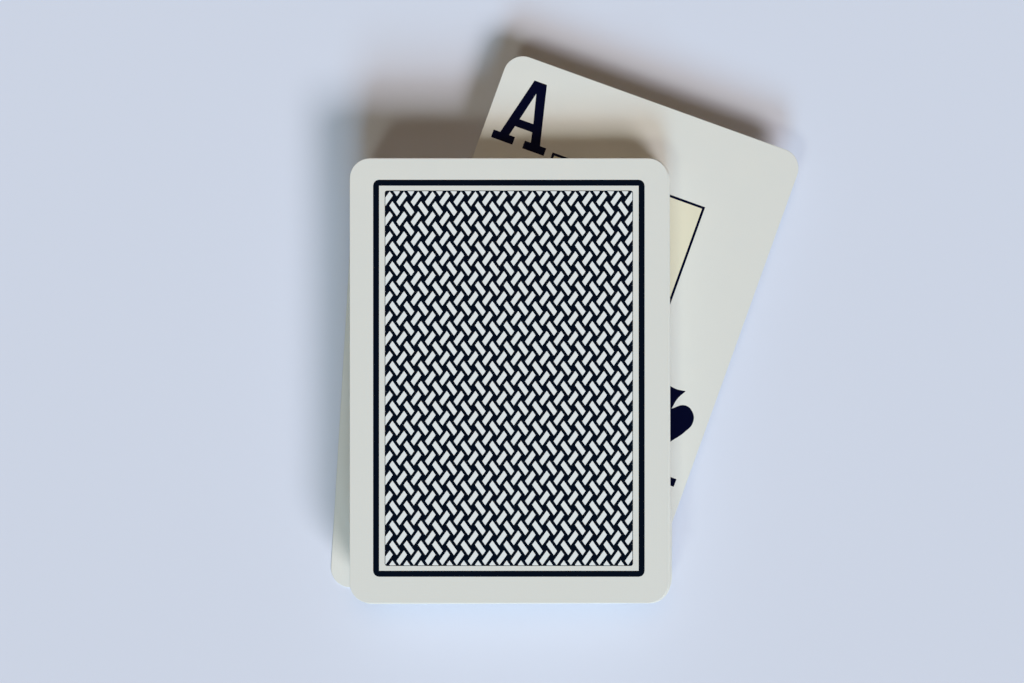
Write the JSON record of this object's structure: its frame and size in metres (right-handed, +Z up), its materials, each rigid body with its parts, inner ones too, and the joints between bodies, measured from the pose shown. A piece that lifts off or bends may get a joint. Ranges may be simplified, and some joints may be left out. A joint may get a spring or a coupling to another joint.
{
  "type": "playing card deck",
  "caption": "Loose deck of plastic poker playing cards, face down with woven navy backs, and the ace of spades turned out of the pile face up.",
  "frame": {"origin": "on the table, on the underside of the bottom card, below the middle of the top card", "axes": "+Z up through the pile, +Y along the length of the top card, +X across it to the right"},
  "size_m": [0.0953, 0.1118, 0.0167],
  "materials": {
    "card_stock": "satin",
    "back_ink": "satin",
    "black_ink": "satin",
    "red_ink": "satin",
    "panel_tint": "satin"
  },
  "bodies": {
    "two_of_clubs": {"two_of_clubs": "card_stock"},
    "six_of_diamonds": {"six_of_diamonds": "card_stock"},
    "eight_of_spades": {"eight_of_spades": "card_stock"},
    "queen_of_hearts": {"queen_of_hearts": "card_stock"},
    "three_of_diamonds": {"three_of_diamonds": "card_stock"},
    "five_of_spades": {"five_of_spades": "card_stock"},
    "nine_of_hearts": {"nine_of_hearts": "card_stock"},
    "king_of_clubs": {"king_of_clubs": "card_stock"},
    "two_of_spades": {"two_of_spades": "card_stock"},
    "six_of_hearts": {"six_of_hearts": "card_stock"},
    "ten_of_clubs": {"ten_of_clubs": "card_stock"},
    "first_joker": {"first_joker": "card_stock"},
    "three_of_hearts": {"three_of_hearts": "card_stock"},
    "seven_of_clubs": {"seven_of_clubs": "card_stock"},
    "jack_of_diamonds": {"jack_of_diamonds": "card_stock"},
    "king_of_spades": {"king_of_spades": "card_stock"},
    "four_of_clubs": {"four_of_clubs": "card_stock"},
    "eight_of_diamonds": {"eight_of_diamonds": "card_stock"},
    "ten_of_spades": {"ten_of_spades": "card_stock"},
    "ace_of_clubs": {"ace_of_clubs": "card_stock"},
    "five_of_diamonds": {"five_of_diamonds": "card_stock"},
    "seven_of_spades": {"seven_of_spades": "card_stock"},
    "jack_of_hearts": {"jack_of_hearts": "card_stock"},
    "two_of_diamonds": {"two_of_diamonds": "card_stock"},
    "four_of_spades": {"four_of_spades": "card_stock"},
    "eight_of_hearts": {"eight_of_hearts": "card_stock"},
    "queen_of_clubs": {"queen_of_clubs": "card_stock"},
    "ace_of_spades": {"ace_of_spades": "card_stock"},
    "five_of_hearts": {"five_of_hearts": "card_stock"},
    "nine_of_clubs": {"nine_of_clubs": "card_stock"},
    "king_of_diamonds": {"king_of_diamonds": "card_stock"},
    "two_of_hearts": {"two_of_hearts": "card_stock"},
    "six_of_clubs": {"six_of_clubs": "card_stock"},
    "ten_of_diamonds": {"ten_of_diamonds": "card_stock"},
    "queen_of_spades": {"queen_of_spades": "card_stock"},
    "three_of_clubs": {"three_of_clubs": "card_stock"},
    "seven_of_diamonds": {"seven_of_diamonds": "card_stock"},
    "nine_of_spades": {"nine_of_spades": "card_stock"},
    "king_of_hearts": {"king_of_hearts": "card_stock"},
    "four_of_diamonds": {"four_of_diamonds": "card_stock"},
    "six_of_spades": {"six_of_spades": "card_stock"},
    "ten_of_hearts": {"ten_of_hearts": "card_stock"},
    "ace_of_diamonds": {"ace_of_diamonds": "card_stock"},
    "three_of_spades": {"three_of_spades": "card_stock"},
    "seven_of_hearts": {"seven_of_hearts": "card_stock"},
    "jack_of_clubs": {"jack_of_clubs": "card_stock"},
    "second_joker": {"second_joker": "card_stock"},
    "four_of_hearts": {"four_of_hearts": "card_stock"},
    "eight_of_clubs": {"eight_of_clubs": "card_stock"},
    "queen_of_diamonds": {"queen_of_diamonds": "card_stock"},
    "ace_of_hearts": {"ace_of_hearts": "card_stock"},
    "five_of_clubs": {"five_of_clubs": "card_stock"},
    "nine_of_diamonds": {"nine_of_diamonds": "card_stock"},
    "jack_of_spades": {"jack_of_spades": "card_stock"}
  },
  "joints": [
    {"name": "pile_swivel", "type": "hinge", "parent": "two_of_clubs", "child": "six_of_diamonds", "pos_m": [-0.02808, 0.04076, 0.00014], "axis": [0, 0, 1], "range_deg": [-3.4, 20]},
    {"name": "lower_fan", "type": "hinge", "parent": "six_of_diamonds", "child": "queen_of_clubs", "pos_m": [-0.02603, -0.04012, 0.0082], "axis": [0, 0, 1], "range_deg": [0, 120]},
    {"name": "fan_eight_of_hearts", "type": "hinge", "parent": "six_of_diamonds", "child": "eight_of_hearts", "pos_m": [-0.02608, -0.03997, 0.00789], "axis": [0, 0, 1], "range_deg": [0, 115.7]},
    {"name": "fan_four_of_spades", "type": "hinge", "parent": "six_of_diamonds", "child": "four_of_spades", "pos_m": [-0.02625, -0.0401, 0.00758], "axis": [0, 0, 1], "range_deg": [0, 110.9]},
    {"name": "fan_two_of_diamonds", "type": "hinge", "parent": "six_of_diamonds", "child": "two_of_diamonds", "pos_m": [-0.02623, -0.04011, 0.00727], "axis": [0, 0, 1], "range_deg": [0, 106.1]},
    {"name": "fan_jack_of_hearts", "type": "hinge", "parent": "six_of_diamonds", "child": "jack_of_hearts", "pos_m": [-0.02592, -0.04019, 0.00696], "axis": [0, 0, 1], "range_deg": [0, 101.3]},
    {"name": "fan_seven_of_spades", "type": "hinge", "parent": "six_of_diamonds", "child": "seven_of_spades", "pos_m": [-0.02591, -0.04014, 0.00665], "axis": [0, 0, 1], "range_deg": [0, 96.5]},
    {"name": "fan_five_of_diamonds", "type": "hinge", "parent": "six_of_diamonds", "child": "five_of_diamonds", "pos_m": [-0.02618, -0.04006, 0.00634], "axis": [0, 0, 1], "range_deg": [0, 91.7]},
    {"name": "fan_ace_of_clubs", "type": "hinge", "parent": "six_of_diamonds", "child": "ace_of_clubs", "pos_m": [-0.02647, -0.04006, 0.00603], "axis": [0, 0, 1], "range_deg": [0, 86.9]},
    {"name": "fan_ten_of_spades", "type": "hinge", "parent": "six_of_diamonds", "child": "ten_of_spades", "pos_m": [-0.02611, -0.04003, 0.00572], "axis": [0, 0, 1], "range_deg": [0, 82.1]},
    {"name": "fan_eight_of_diamonds", "type": "hinge", "parent": "six_of_diamonds", "child": "eight_of_diamonds", "pos_m": [-0.02589, -0.04018, 0.00541], "axis": [0, 0, 1], "range_deg": [0, 77.3]},
    {"name": "fan_four_of_clubs", "type": "hinge", "parent": "six_of_diamonds", "child": "four_of_clubs", "pos_m": [-0.02596, -0.0401, 0.0051], "axis": [0, 0, 1], "range_deg": [0, 72.5]},
    {"name": "fan_king_of_spades", "type": "hinge", "parent": "six_of_diamonds", "child": "king_of_spades", "pos_m": [-0.02632, -0.04018, 0.00479], "axis": [0, 0, 1], "range_deg": [0, 67.7]},
    {"name": "fan_jack_of_diamonds", "type": "hinge", "parent": "six_of_diamonds", "child": "jack_of_diamonds", "pos_m": [-0.02619, -0.03996, 0.00448], "axis": [0, 0, 1], "range_deg": [0, 62.9]},
    {"name": "fan_seven_of_clubs", "type": "hinge", "parent": "six_of_diamonds", "child": "seven_of_clubs", "pos_m": [-0.02606, -0.04008, 0.00417], "axis": [0, 0, 1], "range_deg": [0, 58.1]},
    {"name": "fan_three_of_hearts", "type": "hinge", "parent": "six_of_diamonds", "child": "three_of_hearts", "pos_m": [-0.02605, -0.04002, 0.00386], "axis": [0, 0, 1], "range_deg": [0, 53.3]},
    {"name": "fan_first_joker", "type": "hinge", "parent": "six_of_diamonds", "child": "first_joker", "pos_m": [-0.02621, -0.04019, 0.00355], "axis": [0, 0, 1], "range_deg": [0, 48.5]},
    {"name": "fan_ten_of_clubs", "type": "hinge", "parent": "six_of_diamonds", "child": "ten_of_clubs", "pos_m": [-0.02609, -0.04015, 0.00324], "axis": [0, 0, 1], "range_deg": [0, 43.7]},
    {"name": "fan_six_of_hearts", "type": "hinge", "parent": "six_of_diamonds", "child": "six_of_hearts", "pos_m": [-0.02595, -0.04014, 0.00293], "axis": [0, 0, 1], "range_deg": [0, 38.9]},
    {"name": "fan_two_of_spades", "type": "hinge", "parent": "six_of_diamonds", "child": "two_of_spades", "pos_m": [-0.02606, -0.04006, 0.00262], "axis": [0, 0, 1], "range_deg": [0, 34.1]},
    {"name": "fan_king_of_clubs", "type": "hinge", "parent": "six_of_diamonds", "child": "king_of_clubs", "pos_m": [-0.02631, -0.04002, 0.00231], "axis": [0, 0, 1], "range_deg": [0, 29.3]},
    {"name": "fan_nine_of_hearts", "type": "hinge", "parent": "six_of_diamonds", "child": "nine_of_hearts", "pos_m": [-0.02629, -0.04011, 0.002], "axis": [0, 0, 1], "range_deg": [0, 24.5]},
    {"name": "fan_five_of_spades", "type": "hinge", "parent": "six_of_diamonds", "child": "five_of_spades", "pos_m": [-0.02593, -0.04011, 0.00169], "axis": [0, 0, 1], "range_deg": [0, 19.7]},
    {"name": "fan_three_of_diamonds", "type": "hinge", "parent": "six_of_diamonds", "child": "three_of_diamonds", "pos_m": [-0.02586, -0.04021, 0.00138], "axis": [0, 0, 1], "range_deg": [0, 14.9]},
    {"name": "fan_queen_of_hearts", "type": "hinge", "parent": "six_of_diamonds", "child": "queen_of_hearts", "pos_m": [-0.02612, -0.04004, 0.00107], "axis": [0, 0, 1], "range_deg": [0, 10.1]},
    {"name": "fan_eight_of_spades", "type": "hinge", "parent": "six_of_diamonds", "child": "eight_of_spades", "pos_m": [-0.02642, -0.04009, 0.00076], "axis": [0, 0, 1], "range_deg": [0, 5.3]},
    {"name": "ace_slide", "type": "slide", "parent": "six_of_diamonds", "child": "ace_of_spades", "axis": [0.3387, 0.9409, 0], "range_m": [-0.015, 0.03]},
    {"name": "cut_slide", "type": "slide", "parent": "six_of_diamonds", "child": "five_of_hearts", "axis": [-1, 0, 0], "range_m": [0, 0.03]},
    {"name": "upper_fan", "type": "hinge", "parent": "five_of_hearts", "child": "nine_of_diamonds", "pos_m": [-0.0271, -0.04021, 0.01626], "axis": [0, 0, -1], "range_deg": [0, 120]},
    {"name": "fan_five_of_clubs", "type": "hinge", "parent": "five_of_hearts", "child": "five_of_clubs", "pos_m": [-0.02696, -0.0401, 0.01595], "axis": [0, 0, -1], "range_deg": [0, 115.5]},
    {"name": "fan_ace_of_hearts", "type": "hinge", "parent": "five_of_hearts", "child": "ace_of_hearts", "pos_m": [-0.02715, -0.04014, 0.01564], "axis": [0, 0, -1], "range_deg": [0, 110.5]},
    {"name": "fan_queen_of_diamonds", "type": "hinge", "parent": "five_of_hearts", "child": "queen_of_diamonds", "pos_m": [-0.02752, -0.04001, 0.01533], "axis": [0, 0, -1], "range_deg": [0, 105.5]},
    {"name": "fan_eight_of_clubs", "type": "hinge", "parent": "five_of_hearts", "child": "eight_of_clubs", "pos_m": [-0.02734, -0.04006, 0.01502], "axis": [0, 0, -1], "range_deg": [0, 100.5]},
    {"name": "fan_four_of_hearts", "type": "hinge", "parent": "five_of_hearts", "child": "four_of_hearts", "pos_m": [-0.02705, -0.04011, 0.01471], "axis": [0, 0, -1], "range_deg": [0, 95.5]},
    {"name": "fan_second_joker", "type": "hinge", "parent": "five_of_hearts", "child": "second_joker", "pos_m": [-0.027, -0.04016, 0.0144], "axis": [0, 0, -1], "range_deg": [0, 90.5]},
    {"name": "fan_jack_of_clubs", "type": "hinge", "parent": "five_of_hearts", "child": "jack_of_clubs", "pos_m": [-0.02726, -0.04018, 0.01409], "axis": [0, 0, -1], "range_deg": [0, 85.5]},
    {"name": "fan_seven_of_hearts", "type": "hinge", "parent": "five_of_hearts", "child": "seven_of_hearts", "pos_m": [-0.02734, -0.04006, 0.01378], "axis": [0, 0, -1], "range_deg": [0, 80.5]},
    {"name": "fan_three_of_spades", "type": "hinge", "parent": "five_of_hearts", "child": "three_of_spades", "pos_m": [-0.02719, -0.04007, 0.01347], "axis": [0, 0, -1], "range_deg": [0, 75.5]},
    {"name": "fan_ace_of_diamonds", "type": "hinge", "parent": "five_of_hearts", "child": "ace_of_diamonds", "pos_m": [-0.02715, -0.03998, 0.01316], "axis": [0, 0, -1], "range_deg": [0, 70.5]},
    {"name": "fan_ten_of_hearts", "type": "hinge", "parent": "five_of_hearts", "child": "ten_of_hearts", "pos_m": [-0.02725, -0.04016, 0.01285], "axis": [0, 0, -1], "range_deg": [0, 65.5]},
    {"name": "fan_six_of_spades", "type": "hinge", "parent": "five_of_hearts", "child": "six_of_spades", "pos_m": [-0.0273, -0.04007, 0.01254], "axis": [0, 0, -1], "range_deg": [0, 60.5]},
    {"name": "fan_four_of_diamonds", "type": "hinge", "parent": "five_of_hearts", "child": "four_of_diamonds", "pos_m": [-0.02706, -0.0402, 0.01223], "axis": [0, 0, -1], "range_deg": [0, 55.5]},
    {"name": "fan_king_of_hearts", "type": "hinge", "parent": "five_of_hearts", "child": "king_of_hearts", "pos_m": [-0.02708, -0.04002, 0.01192], "axis": [0, 0, -1], "range_deg": [0, 50.5]},
    {"name": "fan_nine_of_spades", "type": "hinge", "parent": "five_of_hearts", "child": "nine_of_spades", "pos_m": [-0.02731, -0.04007, 0.01161], "axis": [0, 0, -1], "range_deg": [0, 45.5]},
    {"name": "fan_seven_of_diamonds", "type": "hinge", "parent": "five_of_hearts", "child": "seven_of_diamonds", "pos_m": [-0.02755, -0.04002, 0.0113], "axis": [0, 0, -1], "range_deg": [0, 40.5]},
    {"name": "fan_three_of_clubs", "type": "hinge", "parent": "five_of_hearts", "child": "three_of_clubs", "pos_m": [-0.02715, -0.04014, 0.01099], "axis": [0, 0, -1], "range_deg": [0, 35.5]},
    {"name": "fan_queen_of_spades", "type": "hinge", "parent": "five_of_hearts", "child": "queen_of_spades", "pos_m": [-0.02695, -0.04017, 0.01068], "axis": [0, 0, -1], "range_deg": [0, 30.5]},
    {"name": "fan_ten_of_diamonds", "type": "hinge", "parent": "five_of_hearts", "child": "ten_of_diamonds", "pos_m": [-0.02709, -0.04014, 0.01037], "axis": [0, 0, -1], "range_deg": [0, 25.5]},
    {"name": "fan_six_of_clubs", "type": "hinge", "parent": "five_of_hearts", "child": "six_of_clubs", "pos_m": [-0.02748, -0.0401, 0.01006], "axis": [0, 0, -1], "range_deg": [0, 20.5]},
    {"name": "fan_two_of_hearts", "type": "hinge", "parent": "five_of_hearts", "child": "two_of_hearts", "pos_m": [-0.02735, -0.03999, 0.00975], "axis": [0, 0, -1], "range_deg": [0, 15.5]},
    {"name": "fan_king_of_diamonds", "type": "hinge", "parent": "five_of_hearts", "child": "king_of_diamonds", "pos_m": [-0.02712, -0.0401, 0.00944], "axis": [0, 0, -1], "range_deg": [0, 10.5]},
    {"name": "fan_nine_of_clubs", "type": "hinge", "parent": "five_of_hearts", "child": "nine_of_clubs", "pos_m": [-0.02707, -0.04006, 0.00913], "axis": [0, 0, -1], "range_deg": [0, 5.5]},
    {"name": "top_deal", "type": "slide", "parent": "nine_of_diamonds", "child": "jack_of_spades", "axis": [0, -1, 0], "range_m": [0, 0.04]}
  ],
  "couplings": [
    {"joint": "fan_eight_of_hearts", "follows": "lower_fan", "ratio": 0.96},
    {"joint": "fan_four_of_spades", "follows": "lower_fan", "ratio": 0.92},
    {"joint": "fan_two_of_diamonds", "follows": "lower_fan", "ratio": 0.88},
    {"joint": "fan_jack_of_hearts", "follows": "lower_fan", "ratio": 0.84},
    {"joint": "fan_seven_of_spades", "follows": "lower_fan", "ratio": 0.8},
    {"joint": "fan_five_of_diamonds", "follows": "lower_fan", "ratio": 0.76},
    {"joint": "fan_ace_of_clubs", "follows": "lower_fan", "ratio": 0.72},
    {"joint": "fan_ten_of_spades", "follows": "lower_fan", "ratio": 0.68},
    {"joint": "fan_eight_of_diamonds", "follows": "lower_fan", "ratio": 0.64},
    {"joint": "fan_four_of_clubs", "follows": "lower_fan", "ratio": 0.6},
    {"joint": "fan_king_of_spades", "follows": "lower_fan", "ratio": 0.56},
    {"joint": "fan_jack_of_diamonds", "follows": "lower_fan", "ratio": 0.52},
    {"joint": "fan_seven_of_clubs", "follows": "lower_fan", "ratio": 0.48},
    {"joint": "fan_three_of_hearts", "follows": "lower_fan", "ratio": 0.44},
    {"joint": "fan_first_joker", "follows": "lower_fan", "ratio": 0.4},
    {"joint": "fan_ten_of_clubs", "follows": "lower_fan", "ratio": 0.36},
    {"joint": "fan_six_of_hearts", "follows": "lower_fan", "ratio": 0.32},
    {"joint": "fan_two_of_spades", "follows": "lower_fan", "ratio": 0.28},
    {"joint": "fan_king_of_clubs", "follows": "lower_fan", "ratio": 0.24},
    {"joint": "fan_nine_of_hearts", "follows": "lower_fan", "ratio": 0.2},
    {"joint": "fan_five_of_spades", "follows": "lower_fan", "ratio": 0.16},
    {"joint": "fan_three_of_diamonds", "follows": "lower_fan", "ratio": 0.12},
    {"joint": "fan_queen_of_hearts", "follows": "lower_fan", "ratio": 0.08},
    {"joint": "fan_eight_of_spades", "follows": "lower_fan", "ratio": 0.04},
    {"joint": "fan_five_of_clubs", "follows": "upper_fan", "ratio": 0.95833},
    {"joint": "fan_ace_of_hearts", "follows": "upper_fan", "ratio": 0.91667},
    {"joint": "fan_queen_of_diamonds", "follows": "upper_fan", "ratio": 0.875},
    {"joint": "fan_eight_of_clubs", "follows": "upper_fan", "ratio": 0.83333},
    {"joint": "fan_four_of_hearts", "follows": "upper_fan", "ratio": 0.79167},
    {"joint": "fan_second_joker", "follows": "upper_fan", "ratio": 0.75},
    {"joint": "fan_jack_of_clubs", "follows": "upper_fan", "ratio": 0.70833},
    {"joint": "fan_seven_of_hearts", "follows": "upper_fan", "ratio": 0.66667},
    {"joint": "fan_three_of_spades", "follows": "upper_fan", "ratio": 0.625},
    {"joint": "fan_ace_of_diamonds", "follows": "upper_fan", "ratio": 0.58333},
    {"joint": "fan_ten_of_hearts", "follows": "upper_fan", "ratio": 0.54167},
    {"joint": "fan_six_of_spades", "follows": "upper_fan", "ratio": 0.5},
    {"joint": "fan_four_of_diamonds", "follows": "upper_fan", "ratio": 0.45833},
    {"joint": "fan_king_of_hearts", "follows": "upper_fan", "ratio": 0.41667},
    {"joint": "fan_nine_of_spades", "follows": "upper_fan", "ratio": 0.375},
    {"joint": "fan_seven_of_diamonds", "follows": "upper_fan", "ratio": 0.33333},
    {"joint": "fan_three_of_clubs", "follows": "upper_fan", "ratio": 0.29167},
    {"joint": "fan_queen_of_spades", "follows": "upper_fan", "ratio": 0.25},
    {"joint": "fan_ten_of_diamonds", "follows": "upper_fan", "ratio": 0.20833},
    {"joint": "fan_six_of_clubs", "follows": "upper_fan", "ratio": 0.16667},
    {"joint": "fan_two_of_hearts", "follows": "upper_fan", "ratio": 0.125},
    {"joint": "fan_king_of_diamonds", "follows": "upper_fan", "ratio": 0.083333},
    {"joint": "fan_nine_of_clubs", "follows": "upper_fan", "ratio": 0.041667}
  ]
}
